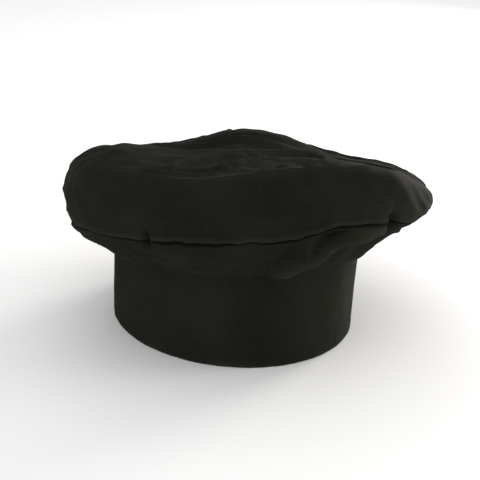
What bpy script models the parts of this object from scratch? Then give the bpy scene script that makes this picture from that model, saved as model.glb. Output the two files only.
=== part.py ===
"""Chef toque: a floppy two-panel crown gathered onto a stiff head band with a hook-and-loop closure.

Metres, +Z up. The band stands on Z = 0 round the origin, the front of the hat faces -Y, and the closure
is at the back, +Y. Run with: blender --background --python part.py
"""

import math

import bmesh
import bpy
import numpy as np
from mathutils import Vector

# Band: an oval at the hem that turns nearly round, and leans a little, towards the crown.
BAND_HEIGHT = 0.076
HEM_HALF_AXES = (0.087, 0.101)
TOP_HALF_AXES = (0.0925, 0.0958)
TOP_LEAN = (0.0055, -0.0034)
BAND_SEGMENTS = 84

# Layers of the band and the tab, from the outside in.
CLOTH = 0.0006
STIFFENER = 0.0005
GAP = 0.0003
BAND_THICKNESS = CLOTH + GAP + STIFFENER + GAP + CLOTH
FACING_RAISE = 0.0015
STIFFENER_RAISE = 0.003

# Closure: the tab laps over the inset end of the strip, the underlap.
TAB_LENGTH = 0.070
TAB_BOTTOM = 0.001
TAB_TOP = 0.066
TAPE_THICKNESS = 0.001
UNDERLAP_INSET = BAND_THICKNESS + GAP + TAPE_THICKNESS + GAP + TAPE_THICKNESS + GAP
UNDERLAP_PAST_ROOT = 0.007
DIVE_START = 0.130
DIVE_LENGTH = 0.050
TAPE_BOTTOM = 0.021
TAPE_TOP = 0.046
HOOK_TAPE_ENDS = (-0.006, -0.064)
LOOP_TAPE_START = 0.078
LOOP_TAPE_END = 0.010

# Threads and small trim.
THREAD_RADIUS = 0.0002
THREAD_OFFSET = -(THREAD_RADIUS + GAP)
HEM_STITCH_HEIGHT = 0.006
CROWN_STITCH_HEIGHT = 0.070
TAB_STITCH_MARGIN = 0.004
BARTACK = (0.0020, 0.0006, 0.0070)
BARTACK_HEIGHTS = {"bartack_lower": 0.010, "bartack_upper": 0.058}
BARTACK_ALONG = 0.004
LABEL_ENDS = (0.018, 0.052)
LABEL_BOTTOM = 0.028
LABEL_TOP = 0.056
LABEL_THICKNESS = 0.0003

# Crown: two panels joined at the rim. Each row is one bearing, in degrees from +X, and each pair in it is
# (radius, height): the fold that hangs beside the band, the belly under the crown, the rim seam, the face
# above the seam, the shoulder where the top turns over, and the top halfway in.
CROWN_CLOTH = 0.001
CROWN_TOP_CENTRE = 0.129
RIM_HALF_GAP = 0.0009
CROWN_SEGMENTS = 48
CROWN_ROWS = {
    -32: ((0.106, 0.065), (0.128, 0.075), (0.151, 0.092), (0.145, 0.103), (0.120, 0.113), (0.078, 0.120)),
    0: ((0.105, 0.070), (0.124, 0.077), (0.146, 0.091), (0.140, 0.101), (0.112, 0.109), (0.074, 0.116)),
    45: ((0.106, 0.075), (0.119, 0.079), (0.135, 0.092), (0.130, 0.104), (0.100, 0.117), (0.068, 0.125)),
    90: ((0.108, 0.075), (0.116, 0.079), (0.128, 0.090), (0.125, 0.102), (0.100, 0.112), (0.062, 0.119)),
    148: ((0.097, 0.064), (0.108, 0.069), (0.123, 0.087), (0.122, 0.106), (0.102, 0.130), (0.060, 0.131)),
    190: ((0.100, 0.070), (0.112, 0.078), (0.129, 0.098), (0.126, 0.115), (0.114, 0.136), (0.062, 0.136)),
    225: ((0.106, 0.073), (0.116, 0.084), (0.126, 0.103), (0.118, 0.119), (0.102, 0.137), (0.060, 0.135)),
    251: ((0.113, 0.074), (0.120, 0.087), (0.127, 0.104), (0.117, 0.120), (0.094, 0.138), (0.055, 0.134)),
    273: ((0.112, 0.074), (0.123, 0.088), (0.133, 0.107), (0.125, 0.122), (0.100, 0.138), (0.060, 0.133)),
    295: ((0.109, 0.068), (0.128, 0.082), (0.145, 0.104), (0.141, 0.117), (0.125, 0.133), (0.075, 0.129)),
    313: ((0.106, 0.065), (0.130, 0.078), (0.151, 0.097), (0.148, 0.109), (0.128, 0.121), (0.080, 0.126)),
}

# Joints: the crown flops sideways about Y above the band, and its top is pushed down.
TILT_PIVOT = (0.0, 0.0, 0.058)

CLOTH_BLACK = (0.011, 0.011, 0.010)
THREAD_BLACK = (0.016, 0.016, 0.015)
TAPE_BLACK = (0.020, 0.020, 0.020)
STIFFENER_WHITE = (0.60, 0.60, 0.57)
LABEL_WHITE = (0.72, 0.72, 0.69)


def clear_scene():
    for obj in list(bpy.data.objects):
        bpy.data.objects.remove(obj, do_unlink=True)


def new_material(name, colour, roughness):
    material = bpy.data.materials.new(name)
    material.use_nodes = True
    shader = material.node_tree.nodes["Principled BSDF"]
    shader.inputs["Base Color"].default_value = (*colour, 1.0)
    shader.inputs["Roughness"].default_value = roughness
    shader.inputs["Metallic"].default_value = 0.0
    return material


def add_object(name, data, material):
    obj = bpy.data.objects.new(name, data)
    data.materials.append(material)
    TOQUE.objects.link(obj)
    return obj


def bent_grid(name, columns, rows, place, thickness, material):
    """A flat grid bent so that its corner coordinates (u, v) land at place(u, v), thickened both ways."""
    mesh = bpy.data.meshes.new(name)
    work = bmesh.new()
    bmesh.ops.create_grid(work, x_segments=columns, y_segments=rows, size=0.5)
    for vert in work.verts:
        vert.co = place(vert.co.x + 0.5, vert.co.y + 0.5)
    bmesh.ops.remove_doubles(work, verts=work.verts, dist=1e-6)
    work.to_mesh(mesh)
    work.free()
    mesh.shade_smooth()
    obj = add_object(name, mesh, material)
    solid = obj.modifiers.new("thickness", "SOLIDIFY")
    solid.thickness = thickness
    solid.offset = 0.0
    return obj


def thread(name, points):
    """A thin sewing thread through the points."""
    curve = bpy.data.curves.new(name, "CURVE")
    curve.dimensions = "3D"
    curve.bevel_depth = THREAD_RADIUS
    curve.bevel_resolution = 0
    curve.use_fill_caps = True
    spline = curve.splines.new("POLY")
    spline.points.add(len(points) - 1)
    for knot, point in zip(spline.points, points):
        knot.co = (*point, 1.0)
    return add_object(name, curve, THREAD_MATERIAL)


def smoothstep(t):
    t = min(max(t, 0.0), 1.0)
    return t * t * (3.0 - 2.0 * t)


# ---- the band's outline ----

def outline(angle, height, inset):
    """The point at this angle of the band's oval, at this height, moved inwards by the inset."""
    share = height / BAND_HEIGHT
    wide = HEM_HALF_AXES[0] + (TOP_HALF_AXES[0] - HEM_HALF_AXES[0]) * share
    long = HEM_HALF_AXES[1] + (TOP_HALF_AXES[1] - HEM_HALF_AXES[1]) * share
    outward = Vector((math.cos(angle) / wide, math.sin(angle) / long, 0.0)).normalized()
    centre = Vector((TOP_LEAN[0] * share, TOP_LEAN[1] * share, height))
    return centre + Vector((wide * math.cos(angle), long * math.sin(angle), 0.0)) - outward * inset


def arc_table():
    """Arc lengths round the outline at half height, and their angles, clockwise from the back, seen from above."""
    turns = np.linspace(-math.pi, 3 * math.pi, 1441)
    angles = math.pi / 2 - turns
    points = np.array([outline(angle, BAND_HEIGHT / 2, 0.0) for angle in angles])
    steps = np.linalg.norm(np.diff(points, axis=0), axis=1)
    lengths = np.concatenate([[0.0], np.cumsum(steps)])
    return lengths - np.interp(0.0, turns, lengths), angles


ARC_LENGTHS, ARC_ANGLES = arc_table()
PERIMETER = float((ARC_LENGTHS[-1] - ARC_LENGTHS[0]) / 2)
STRIP_LENGTH = PERIMETER - UNDERLAP_PAST_ROOT


def on_band(along, height, inset):
    """A point that lies this far along the strip from the tab's root. The tab itself is at negative lengths."""
    angle = float(np.interp(along + TAB_LENGTH / 2, ARC_LENGTHS, ARC_ANGLES))
    return outline(angle, height, inset)


def dive(along):
    """How far the strip has moved inwards to pass under the tab."""
    return UNDERLAP_INSET * smoothstep((along - (PERIMETER - DIVE_START)) / DIVE_LENGTH)


def strip_layer(name, depth, thickness, bottom, material):
    """One layer of the strip, from the tab's root round the front to the end of the underlap."""
    def place(u, v):
        along = STRIP_LENGTH * u
        return on_band(along, bottom + (BAND_HEIGHT - bottom) * v, dive(along) + depth + thickness / 2)
    return bent_grid(name, BAND_SEGMENTS, 1, place, thickness, material)


def patch(name, ends, heights, depth, thickness, material):
    """A piece that lies along the band between two lengths and two heights. Its depth may vary with the length."""
    columns = max(4, round(abs(ends[1] - ends[0]) / 0.007))

    def place(u, v):
        along = ends[0] + (ends[1] - ends[0]) * u
        height = heights[0] + (heights[1] - heights[0]) * v
        return on_band(along, height, depth(along) + thickness / 2)
    return bent_grid(name, columns, 1, place, thickness, material)


def make_band():
    strip_layer("band_outer", 0.0, CLOTH, 0.0, CLOTH_MATERIAL)
    strip_layer("band_interlining", CLOTH + GAP, STIFFENER, STIFFENER_RAISE, STIFFENER_MATERIAL)
    strip_layer("band_facing", CLOTH + GAP + STIFFENER + GAP, CLOTH, FACING_RAISE, CLOTH_MATERIAL)
    patch("loop_tape", (PERIMETER - LOOP_TAPE_START, PERIMETER - LOOP_TAPE_END), (TAPE_BOTTOM, TAPE_TOP),
          lambda along: dive(along) - GAP - TAPE_THICKNESS, TAPE_THICKNESS, TAPE_MATERIAL)
    patch("care_label", LABEL_ENDS, (LABEL_BOTTOM, LABEL_TOP),
          lambda along: BAND_THICKNESS + GAP, LABEL_THICKNESS, LABEL_MATERIAL)


def make_band_stitching():
    for name, height in (("hem_topstitch", HEM_STITCH_HEIGHT), ("crown_topstitch", CROWN_STITCH_HEIGHT)):
        lengths = np.linspace(BARTACK_ALONG + BARTACK[0], STRIP_LENGTH - GAP, BAND_SEGMENTS + 1)
        points = [on_band(along, height, dive(along) + THREAD_OFFSET) for along in lengths]
        thread(name, points)
    for name, height in BARTACK_HEIGHTS.items():
        mesh = bpy.data.meshes.new(name)
        work = bmesh.new()
        bmesh.ops.create_cube(work, size=1.0)
        bmesh.ops.scale(work, vec=BARTACK, verts=work.verts)
        work.to_mesh(mesh)
        work.free()
        centre = on_band(BARTACK_ALONG, height, -(GAP + BARTACK[1] / 2))
        tangent = on_band(BARTACK_ALONG + 0.001, height, 0.0) - on_band(BARTACK_ALONG - 0.001, height, 0.0)
        obj = add_object(name, mesh, THREAD_MATERIAL)
        obj.location = centre
        obj.rotation_euler = (0.0, 0.0, math.atan2(tangent.y, tangent.x))


# ---- the tab ----

def make_tab():
    """The tab hangs from an empty on its peel axis, the line along its root on the outer face."""
    root_bottom = on_band(0.0, TAB_BOTTOM, 0.0)
    root_top = on_band(0.0, TAB_TOP, 0.0)
    hinge = bpy.data.objects.new("tab_peel_axis", None)
    hinge.location = root_bottom
    hinge.rotation_mode = "QUATERNION"
    hinge.rotation_quaternion = Vector((0.0, 0.0, 1.0)).rotation_difference(root_top - root_bottom)
    TOQUE.objects.link(hinge)

    ends = (-GAP, -TAB_LENGTH)
    layers = (
        ("tab_outer", 0.0, CLOTH, 0.0, CLOTH_MATERIAL),
        ("tab_interlining", CLOTH + GAP, STIFFENER, 0.002, STIFFENER_MATERIAL),
        ("tab_facing", CLOTH + GAP + STIFFENER + GAP, CLOTH, 0.001, CLOTH_MATERIAL),
    )
    pieces = []
    for name, depth, thickness, margin, material in layers:
        inner_ends = (ends[0] - margin, ends[1] + margin)
        heights = (TAB_BOTTOM + margin, TAB_TOP - margin)
        pieces.append(patch(name, inner_ends, heights, lambda along, d=depth: d, thickness, material))
    pieces.append(patch("hook_tape", HOOK_TAPE_ENDS, (TAPE_BOTTOM, TAPE_TOP),
                        lambda along: BAND_THICKNESS + GAP, TAPE_THICKNESS, TAPE_MATERIAL))
    pieces.append(thread("tab_topstitch", tab_stitch_points()))

    bpy.context.view_layer.update()
    for piece in pieces:
        piece.parent = hinge
        piece.matrix_parent_inverse = hinge.matrix_world.inverted()


def tab_stitch_points():
    """Along the tab's lower edge from its root, up its free end and back along the upper edge."""
    low = TAB_BOTTOM + TAB_STITCH_MARGIN
    high = TAB_TOP - TAB_STITCH_MARGIN
    far = -(TAB_LENGTH - TAB_STITCH_MARGIN)
    along = np.linspace(-TAB_STITCH_MARGIN, far, 11)
    up = np.linspace(low, high, 7)[1:-1]
    route = [(a, low) for a in along] + [(far, h) for h in up] + [(a, high) for a in along[::-1]]
    return [on_band(a, h, THREAD_OFFSET) for a, h in route]


# ---- the crown ----

def crown_row(bearing):
    """The crown's control points at any bearing: a smooth closed curve through the rows."""
    keys = sorted(CROWN_ROWS)
    count = len(keys)
    bearing = (bearing - keys[0]) % 360.0 + keys[0]
    i = max(n for n in range(count) if keys[n] <= bearing + 1e-9)

    def key(n):
        return keys[n % count] + 360.0 * (n // count)

    def row(n):
        return np.array(CROWN_ROWS[keys[n % count]])

    width = key(i + 1) - key(i)
    t = (bearing - key(i)) / width
    slope_here = (row(i + 1) - row(i - 1)) / (key(i + 1) - key(i - 1)) * width
    slope_next = (row(i + 2) - row(i)) / (key(i + 2) - key(i)) * width
    return ((2 * t**3 - 3 * t**2 + 1) * row(i) + (t**3 - 2 * t**2 + t) * slope_here
            + (-2 * t**3 + 3 * t**2) * row(i + 1) + (t**3 - t**2) * slope_next)


def through(points, t):
    """A point at share t of a smooth curve through the points, each stretch taking an equal share."""
    points = np.asarray(points, float)
    last = len(points) - 1
    place = min(max(t, 0.0), 1.0) * last
    i = min(int(place), last - 1)
    f = place - i
    here, there = points[i], points[i + 1]
    before = points[i - 1] if i > 0 else 2 * here - there
    after = points[i + 2] if i + 2 <= last else 2 * there - here
    return 0.5 * (2 * here + (there - before) * f + (2 * before - 5 * here + 4 * there - after) * f**2
                  + (3 * here - before - 3 * there + after) * f**3)


def at_bearing(bearing, radius, height):
    angle = math.radians(bearing)
    return (radius * math.cos(angle), radius * math.sin(angle), height)


def band_top_radius(bearing):
    """The distance from the Z axis to the band's upper edge at this bearing."""
    aim = math.radians(bearing)
    direction = np.array((math.cos(aim), math.sin(aim)))
    offset = np.array(TOP_LEAN)
    scale = 1.0 / np.array(TOP_HALF_AXES)
    a = float(((direction * scale) ** 2).sum())
    b = float((direction * offset * scale**2).sum())
    c = float(((offset * scale) ** 2).sum()) - 1.0
    return (b + math.sqrt(b * b - a * c)) / a


def make_under_panel():
    """From a seat on the band's upper edge, over and down beside the band, then out and up to the rim."""
    def place(u, v):
        bearing = 360.0 * u
        edge = band_top_radius(bearing)
        fold, belly, rim = crown_row(bearing)[:3]
        rim = rim - (RIM_HALF_GAP, RIM_HALF_GAP)
        seat = (edge - 0.0012, BAND_HEIGHT + 0.0010)
        turn = (edge + 0.0022, BAND_HEIGHT + 0.0004)
        radius, height = through((seat, turn, fold, belly, rim), v)
        return at_bearing(bearing, radius, height)
    bent_grid("crown_under_panel", CROWN_SEGMENTS, 8, place, CROWN_CLOTH, CLOTH_MATERIAL)


def make_top_panel():
    """From the rim up the face, over the shoulder and in to the middle."""
    def place(u, v):
        bearing = 360.0 * u
        rim, face, shoulder, top = crown_row(bearing)[2:]
        rim = rim + (0.0, RIM_HALF_GAP)
        radius, height = through((rim, face, shoulder, top, (0.0, CROWN_TOP_CENTRE)), v)
        return at_bearing(bearing, radius, height)
    bent_grid("crown_top_panel", CROWN_SEGMENTS, 12, place, CROWN_CLOTH, CLOTH_MATERIAL)


def make_crown():
    """Both panels hang from an empty on the axis about which the crown flops."""
    pivot = bpy.data.objects.new("crown_tilt_axis", None)
    pivot.location = TILT_PIVOT
    TOQUE.objects.link(pivot)
    make_under_panel()
    make_top_panel()
    bpy.context.view_layer.update()
    for name in ("crown_under_panel", "crown_top_panel"):
        panel = bpy.data.objects[name]
        panel.parent = pivot
        panel.matrix_parent_inverse = pivot.matrix_world.inverted()


clear_scene()
TOQUE = bpy.data.collections.new("chef_toque")
bpy.context.scene.collection.children.link(TOQUE)
CLOTH_MATERIAL = new_material("black_cotton", CLOTH_BLACK, 0.85)
THREAD_MATERIAL = new_material("black_thread", THREAD_BLACK, 0.55)
TAPE_MATERIAL = new_material("hook_and_loop", TAPE_BLACK, 0.75)
STIFFENER_MATERIAL = new_material("interlining", STIFFENER_WHITE, 0.9)
LABEL_MATERIAL = new_material("label", LABEL_WHITE, 0.6)
make_band()
make_band_stitching()
make_tab()
make_crown()
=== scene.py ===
"""The looks of a black chef toque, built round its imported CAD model.

Metres, +Z up, the hat's front facing -Y.
"""

import math

import bpy
import numpy as np
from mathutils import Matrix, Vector


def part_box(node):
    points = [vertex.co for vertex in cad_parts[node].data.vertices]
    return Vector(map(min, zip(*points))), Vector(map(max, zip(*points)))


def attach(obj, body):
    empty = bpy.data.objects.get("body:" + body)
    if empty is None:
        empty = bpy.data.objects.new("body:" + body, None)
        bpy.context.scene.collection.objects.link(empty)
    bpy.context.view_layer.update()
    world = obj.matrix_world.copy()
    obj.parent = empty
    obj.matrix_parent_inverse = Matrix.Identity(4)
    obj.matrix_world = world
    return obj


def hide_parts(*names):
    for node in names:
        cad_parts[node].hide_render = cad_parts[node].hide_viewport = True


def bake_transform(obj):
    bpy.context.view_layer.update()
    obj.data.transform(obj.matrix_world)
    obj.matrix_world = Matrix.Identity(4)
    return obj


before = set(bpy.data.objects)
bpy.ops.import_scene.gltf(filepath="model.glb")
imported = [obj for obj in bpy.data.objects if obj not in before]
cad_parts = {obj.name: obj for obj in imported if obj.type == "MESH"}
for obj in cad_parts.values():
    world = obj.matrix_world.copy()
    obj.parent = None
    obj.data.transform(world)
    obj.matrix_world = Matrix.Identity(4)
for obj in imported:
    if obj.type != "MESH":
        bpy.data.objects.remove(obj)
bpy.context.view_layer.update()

# ---- the design's driving dimensions, as in the CAD ----

# The band: its height, the half axes of its oval at the hem and at the top, and how the top is shifted.
BAND_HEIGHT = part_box("band_outer")[1].z
HEM_HALF_AXES = (0.087, 0.101)
TOP_HALF_AXES = (0.0925, 0.0958)
TOP_LEAN = (0.0055, -0.0034)

# The hem's soft cloth flares outwards in front: how far, at what bearing, and over how many degrees.
HEM_FLARE = 0.0030
HEM_FLARE_AT = 270.0
HEM_FLARE_REACH = 55.0

# The closure: the tab's size, and the underlap, which turns inwards over a stretch before the tab's root,
# lies at a depth inside the tab, and ends a little past the root.
TAB_LENGTH = 0.070
TAB_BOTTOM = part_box("tab_outer")[0].z
TAB_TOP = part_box("tab_outer")[1].z
DIVE_START = 0.130
DIVE_LENGTH = 0.050
UNDERLAP_INSET = 0.0052
UNDERLAP_PAST_ROOT = 0.006

# The tapes: their heights, and their ends, the hooks' from the tab's root and the loops' back from where
# the band has gone once round.
TAPE_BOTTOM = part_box("loop_tape")[0].z
TAPE_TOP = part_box("loop_tape")[1].z
HOOK_TAPE_ENDS = (-0.006, -0.064)
LOOP_TAPE_ENDS = (0.078, 0.010)

# The stitch rows, the bar tacks and the label.
HEM_STITCH_HEIGHT = (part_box("hem_topstitch")[0].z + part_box("hem_topstitch")[1].z) / 2
CROWN_STITCH_HEIGHT = (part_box("crown_topstitch")[0].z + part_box("crown_topstitch")[1].z) / 2
TAB_STITCH_MARGIN = 0.004
BARTACK_ALONG = 0.004
LABEL_ENDS = (0.018, 0.052)
LABEL_HEIGHTS = (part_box("care_label")[0].z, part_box("care_label")[1].z)

# ---- the cloth's layers, as sewn ----

# Thicknesses, and the depths of the layers' middles below the band's outer face.
CLOTH = 0.0006
STIFFENER = 0.0005
FACING_CLOTH = 0.0005
LABEL_RIBBON = 0.00025
TAPE_BACKING = 0.0004
OUTER_DEPTH = 0.0003
STIFFENER_DEPTH = 0.00115
FACING_DEPTH = 0.0020
HEM_INNER_DEPTH = 0.0026
LABEL_DEPTH = 0.0027
BAND_THICKNESS = 0.0023

# The lower and upper edges of the band's layers, the height that the inner ones are cut to, the width of
# the turned-up hem, and the columns of the meshes.
OUTER_HEIGHTS = (0.0003, 0.0752)
STIFFENER_HEIGHTS = (0.0030, 0.0750)
FACING_HEIGHTS = (0.0036, 0.0756)
HEM_TURN_UP = 0.011
BAND_COLUMNS = 420

# Stitches: length, gap, how far the middle stands out and the ends sink in, points on each, and the threads'
# radii. Then the depths of the band's rows inside, how far a row keeps from the band's ends, and the distance
# over which a face's direction is measured.
STITCH_LENGTH = 0.0026
STITCH_GAP = 0.0007
STITCH_LIFT = 0.00016
STITCH_SINK = 0.00022
STITCH_POINTS = 7
BAND_THREAD = 0.00017
TAB_THREAD = 0.00020
TACK_THREAD = 0.00016
STITCH_INSIDE_DEPTHS = (0.0029, 0.00225)
ROW_START_GAP = 0.002
ROW_END_GAP = 0.003
PROBE = 0.001

# A bar tack: passes of its zigzag, its half width, how far it stays from its ends, and the depths of the
# zigzag and of the two straight threads under it, with how far those lie to each side.
TACK_PASSES = 22
TACK_HALF_WIDTH = 0.00095
TACK_END_GAP = 0.0002
TACK_DEPTH = -0.00030
TACK_LEG_DEPTH = -0.00010
TACK_LEG_SHIFT = 0.0004

# The tab's rounded corners and turned edges, and the height and length of a bend at its root, which is not
# made.
TAB_CORNER = 0.006
TAB_TURN = 0.0004
TAB_ROOT_HEIGHT = 0.035
TAB_ROOT_BEND = 0.009

# The hooks and loops: how deep their tapes lie, how far apart the hooks stand, and how many loops there
# are.
HOOK_TAPE_DEPTH = BAND_THICKNESS + 0.0005
LOOP_TAPE_DEPTH = -0.0005
HOOK_SPACING = (0.00125, 0.00155)
LOOP_COUNT = 1500

# How the outer cloth turns in at the band's ends: the distance along the band, the share of the way inside,
# and the distance along the flat cloth.
END_TURN = ((0.0040, 1.0, 0.0064), (0.0008, 1.0, 0.0032), (-0.0001, 0.85, 0.0019), (-0.0004, 0.50, 0.0012),
            (-0.0002, 0.15, 0.0006))

# The crown's control rows: one bearing in degrees from +X, then (radius, height) of the fold beside the
# band, the belly under the crown, the rim seam, the face, the shoulder, and the top halfway in.
CROWN_TOP_CENTRE = 0.129
RIM_HALF_GAP = 0.0009
CROWN_ROWS = {
    -32: ((0.106, 0.065), (0.128, 0.075), (0.151, 0.092), (0.145, 0.103), (0.120, 0.113), (0.078, 0.120)),
    0: ((0.105, 0.070), (0.124, 0.077), (0.146, 0.091), (0.140, 0.101), (0.112, 0.109), (0.074, 0.116)),
    45: ((0.106, 0.075), (0.119, 0.079), (0.135, 0.092), (0.130, 0.104), (0.100, 0.117), (0.068, 0.125)),
    90: ((0.108, 0.075), (0.116, 0.079), (0.128, 0.090), (0.125, 0.102), (0.100, 0.112), (0.062, 0.119)),
    148: ((0.097, 0.064), (0.111, 0.069), (0.121, 0.087), (0.120, 0.107), (0.1035, 0.1300), (0.060, 0.131)),
    190: ((0.100, 0.070), (0.112, 0.078), (0.129, 0.098), (0.126, 0.115), (0.114, 0.136), (0.062, 0.136)),
    225: ((0.106, 0.073), (0.116, 0.084), (0.126, 0.103), (0.118, 0.119), (0.102, 0.137), (0.060, 0.135)),
    251: ((0.113, 0.074), (0.120, 0.087), (0.127, 0.104), (0.117, 0.120), (0.094, 0.138), (0.055, 0.134)),
    273: ((0.112, 0.074), (0.123, 0.088), (0.133, 0.107), (0.125, 0.122), (0.100, 0.138), (0.060, 0.133)),
    295: ((0.109, 0.068), (0.128, 0.082), (0.145, 0.104), (0.141, 0.117), (0.125, 0.133), (0.075, 0.129)),
    313: ((0.106, 0.065), (0.130, 0.078), (0.151, 0.097), (0.148, 0.109), (0.128, 0.121), (0.080, 0.126)),
}

# The crown's meshes: columns, the steps between rows, and where the top's columns merge towards its centre.
CROWN_COLUMNS = 896
UNDER_STEP = 0.00105
TOP_STEP = 0.00110
COLUMN_MERGE_GAP = 0.0007
LARGEST_COLUMN_STEP = 32

# The gathers at the band and the softer pleats above them: how many go round, and their height.
GATHERS = (62, 0.0012)
PLEATS = (31, 0.0005)

# The radius of the hole in the under panel's cut ring, and where the panel starts in its flat coordinates.
UNDER_FLAT_START = 0.11

# Circles on which the random fields beside the rim and beside the band are read.
RIM_RING = 0.14
BAND_RING = 0.10

# Where the under panel rolls over the band's edge: outward and upward from it.
EDGE_ROLL = ((-0.0012, 0.0010), (0.0022, 0.0004))

# The share of the top panel above which its top creases lie.
UPPER_SHARE = 0.40

# How pale a painted highlight makes the creases' crests: the tallest one's highlight and its height, which
# the others' highlights follow, and the wear along the rim.
CREASE_HIGHLIGHT = 0.60
TALLEST_CREASE = 0.0078
RIM_WEAR = 0.25

# A crease's narrow edge, its broader base and the hollows beside it: shares of its height, their widths and
# the hollows' distance in half widths of the crease, and the share of its length over which it fades.
EDGE_SHARE, BASE_SHARE, HOLLOW_SHARE = 0.62, 0.38, 0.24
EDGE_WIDTH, BASE_WIDTH, HOLLOW_WIDTH, HOLLOW_AWAY = 0.28, 1.3, 1.2, 2.5
CREASE_FADE = 0.20

# The crown's cloth simulation: it uses one in so many columns, and so many rows of each panel. Its shape is
# held softly, and firmly at its edges and the rim. The cap is how far a point may move. The under panel and
# the face follow the simulation by these shares, and the top wholly from the shoulder on (start and length,
# in shares of the panel), except for the centre.
SETTLE_STRIDE = 4
SETTLE_UNDER_ROWS = 14
SETTLE_TOP_ROWS = 36
SETTLE_HOLD = 0.03
SETTLE_HELD_ROWS = 3
SETTLE_FRAMES = 24
SETTLE_CAP = 0.0045
SETTLE_SOFTENING = 5
SETTLE_UNDER_SHARE = 0.25
SETTLE_FACE_SHARE = 0.2
SETTLE_SHOULDER = (0.28, 0.20)
SETTLE_CENTRE = 0.25
SETTLE_CLOTH = {
    "quality": 6, "mass": 0.0003, "tension_stiffness": 20.0, "compression_stiffness": 20.0,
    "shear_stiffness": 6.0, "bending_stiffness": 0.20, "shrink_min": -0.015, "shrink_max": -0.015,
    "pin_stiffness": 0.6,
}
SETTLE_GRAVITY = 0.05

# The crown inside the band: distance behind the band's edge, height over it, place along the flat cloth.
BAND_TURN_IN = ((0.0014, -0.0060, -0.0070), (0.0014, -0.0030, -0.0040), (0.0013, -0.0008, -0.0018))

# The crown's seam inside the rim: where its allowance is pressed together, where it ends, and each panel's
# part of it as (outward, upward, place along the flat cloth), all from the rim.
SEAM_TUCK = 0.0058
SEAM_ALLOWANCE = 0.0095
UNDER_SEAM = ((-0.0020, -0.0006, 0.0012), (-0.0040, -0.0005, 0.0032), (-SEAM_TUCK, -0.00036, 0.0050),
              (-0.0074, -0.00036, 0.0066), (-SEAM_ALLOWANCE, -0.00050, 0.0088))
TOP_SEAM = ((-SEAM_ALLOWANCE, 0.00030, -0.0095), (-0.0074, 0.00036, -0.0074), (-SEAM_TUCK, 0.00036, -0.0058),
            (-0.0030, 0.00034, -0.0030), (-0.0012, 0.00010, -0.0012), (-0.0001, 0.00025, -0.0004))

# Creases in the top panel: plan points (x, y) along the crest, crest height and half width.
TOP_CREASES = (
    (((-0.109, -0.016), (-0.099, -0.046), (-0.076, -0.071), (-0.055, -0.082), (-0.032, -0.088),
      (-0.006, -0.090), (0.016, -0.100), (0.040, -0.104), (0.058, -0.104), (0.074, -0.112)), 0.0026, 0.0075),
    (((-0.077, -0.050), (-0.063, -0.033), (-0.036, -0.022), (0.002, -0.011), (0.034, -0.010), (0.056, -0.011),
      (0.098, -0.019)), 0.0034, 0.0042),
    (((-0.049, -0.053), (-0.024, -0.046), (-0.002, -0.039), (0.029, -0.038)), 0.0028, 0.0036),
    (((-0.036, -0.086), (-0.014, -0.082), (0.012, -0.078), (0.040, -0.060), (0.066, -0.050)), 0.0031, 0.0038),
    (((-0.058, 0.040), (-0.022, 0.038), (0.011, 0.030), (0.040, 0.014), (0.070, 0.006)), 0.0036, 0.0042),
    (((0.058, -0.011), (0.084, -0.036), (0.100, -0.060), (0.104, -0.076)), 0.0018, 0.0040),
    (((-0.097, -0.024), (-0.086, -0.046), (-0.064, -0.060), (-0.040, -0.068)), 0.0020, 0.0042),
    (((-0.092, 0.010), (-0.076, 0.034), (-0.046, 0.056), (-0.010, 0.062)), 0.0014, 0.0055),
)

# Creases low on the top panel's face, as (bearing, share of the panel), height and half width.
FACE_CREASES = (
    (((178, 0.36), (181, 0.27), (185, 0.18), (188, 0.08), (190, 0.02)), 0.0026, 0.0036),
    (((168, 0.30), (173, 0.20), (179, 0.10), (186, 0.02)), 0.0022, 0.0040),
    (((288, 0.020), (294, 0.040), (301, 0.050), (308, 0.050), (316, 0.060)), 0.0026, 0.0036),
    (((128, 0.00), (122, 0.12), (112, 0.28), (100, 0.48), (90, 0.64)), 0.0018, 0.0055),
    (((42, 0.00), (46, 0.12), (54, 0.28), (60, 0.46), (74, 0.62)), 0.0020, 0.0055),
    (((350, 0.00), (356, 0.12), (4, 0.26), (12, 0.42)), 0.0016, 0.0050),
    (((80, 0.02), (75, 0.14), (66, 0.32), (50, 0.54)), 0.0014, 0.0050),
    (((152, 0.02), (147, 0.16), (150, 0.34), (164, 0.52)), 0.0014, 0.0050),
    (((16, 0.04), (20, 0.16), (30, 0.32), (34, 0.50)), 0.0012, 0.0045),
)

# Broad hollows and swellings of the top panel: plan centre, long direction in degrees, half length, half
# width and height.
TOP_SWELLS = (
    ((0.044, 0.052), -32.0, 0.042, 0.020, -0.0008),
    ((0.026, 0.040), -32.0, 0.050, 0.010, -0.0044),
    ((0.120, 0.024), 102.0, 0.042, 0.030, -0.0086),
    ((0.106, 0.050), 122.0, 0.030, 0.020, -0.0034),
    ((-0.066, 0.062), 52.0, 0.046, 0.028, -0.0018),
    ((-0.014, 0.104), -8.0, 0.052, 0.024, -0.0042),
    ((-0.056, -0.056), -35.0, 0.040, 0.010, -0.0026),
    ((0.022, -0.070), -20.0, 0.050, 0.010, -0.0022),
    ((0.064, -0.030), -14.0, 0.040, 0.010, -0.0018),
)

# Round hollows and bumps of the face: (bearing, share of the panel), radius and height.
FACE_DENTS = (
    ((194, 0.140), 0.0120, -0.0016),
    ((293, 0.120), 0.0120, -0.0012),
    ((325, 0.200), 0.0160, -0.0028),
)

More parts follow.
